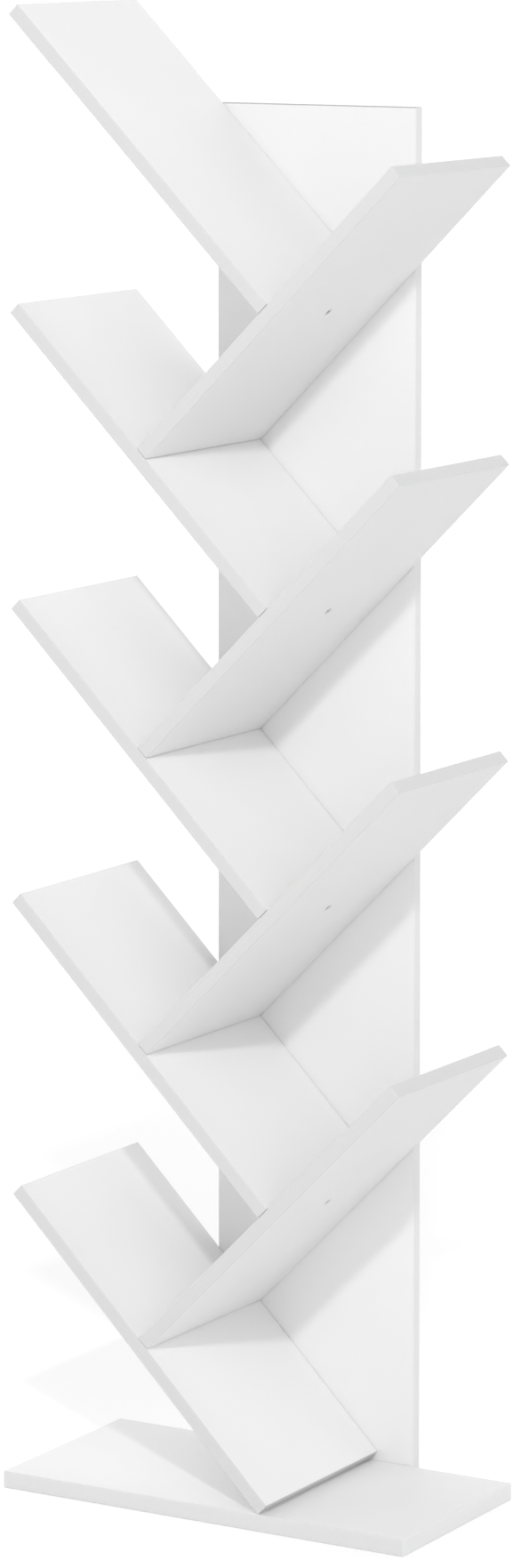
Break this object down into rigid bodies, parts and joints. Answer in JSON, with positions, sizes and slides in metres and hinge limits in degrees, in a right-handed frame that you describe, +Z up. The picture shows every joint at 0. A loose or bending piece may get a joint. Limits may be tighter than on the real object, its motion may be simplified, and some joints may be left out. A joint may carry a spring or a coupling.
{
  "type": "tree bookshelf",
  "caption": "Free-standing tree-shaped bookshelf: slanted boards lean left and right in turn in front of a tall narrow back panel on a flat base board.",
  "frame": {"origin": "on the floor, under the middle of the bounding box", "axes": "+X to the right as seen from the front, +Y to the back, +Z up"},
  "size_m": [0.432, 0.2214, 1.3996],
  "materials": {
    "white_board": "white laminate on particle board, satin",
    "zinc_screw": "zinc plated steel",
    "beech_dowel": "plain beech"
  },
  "bodies": {
    "root": {"base_board": "white_board", "back_panel": "white_board", "left_shelf_1": "white_board", "left_shelf_2": "white_board", "left_shelf_3": "white_board", "left_shelf_4": "white_board", "left_shelf_5": "white_board", "right_shelf_1": "white_board", "right_shelf_2": "white_board", "right_shelf_3": "white_board", "right_shelf_4": "white_board", "left_shelf_2_joint_screw": "zinc_screw", "left_shelf_2_front_dowel": "beech_dowel", "left_shelf_2_rear_dowel": "beech_dowel", "left_shelf_3_joint_screw": "zinc_screw", "left_shelf_3_front_dowel": "beech_dowel", "left_shelf_3_rear_dowel": "beech_dowel", "left_shelf_4_joint_screw": "zinc_screw", "left_shelf_4_front_dowel": "beech_dowel", "left_shelf_4_rear_dowel": "beech_dowel", "left_shelf_5_joint_screw": "zinc_screw", "left_shelf_5_front_dowel": "beech_dowel", "left_shelf_5_rear_dowel": "beech_dowel", "right_shelf_1_joint_screw": "zinc_screw", "right_shelf_1_front_dowel": "beech_dowel", "right_shelf_1_rear_dowel": "beech_dowel", "right_shelf_2_joint_screw": "zinc_screw", "right_shelf_2_front_dowel": "beech_dowel", "right_shelf_2_rear_dowel": "beech_dowel", "right_shelf_3_joint_screw": "zinc_screw", "right_shelf_3_front_dowel": "beech_dowel", "right_shelf_3_rear_dowel": "beech_dowel", "right_shelf_4_joint_screw": "zinc_screw", "right_shelf_4_front_dowel": "beech_dowel", "right_shelf_4_rear_dowel": "beech_dowel", "left_shelf_1_back_screw_1": "zinc_screw", "left_shelf_1_back_screw_2": "zinc_screw", "left_shelf_2_back_screw_1": "zinc_screw", "left_shelf_2_back_screw_2": "zinc_screw", "left_shelf_3_back_screw_1": "zinc_screw", "left_shelf_3_back_screw_2": "zinc_screw", "left_shelf_4_back_screw_1": "zinc_screw", "left_shelf_4_back_screw_2": "zinc_screw", "left_shelf_5_back_screw_1": "zinc_screw", "left_shelf_5_back_screw_2": "zinc_screw", "right_shelf_1_back_screw_1": "zinc_screw", "right_shelf_1_back_screw_2": "zinc_screw", "right_shelf_2_back_screw_1": "zinc_screw", "right_shelf_2_back_screw_2": "zinc_screw", "right_shelf_3_back_screw_1": "zinc_screw", "right_shelf_3_back_screw_2": "zinc_screw", "right_shelf_4_back_screw_1": "zinc_screw", "right_shelf_4_back_screw_2": "zinc_screw", "base_back_screw_1": "zinc_screw", "base_back_screw_2": "zinc_screw", "base_back_screw_3": "zinc_screw"}
  },
  "joints": []
}
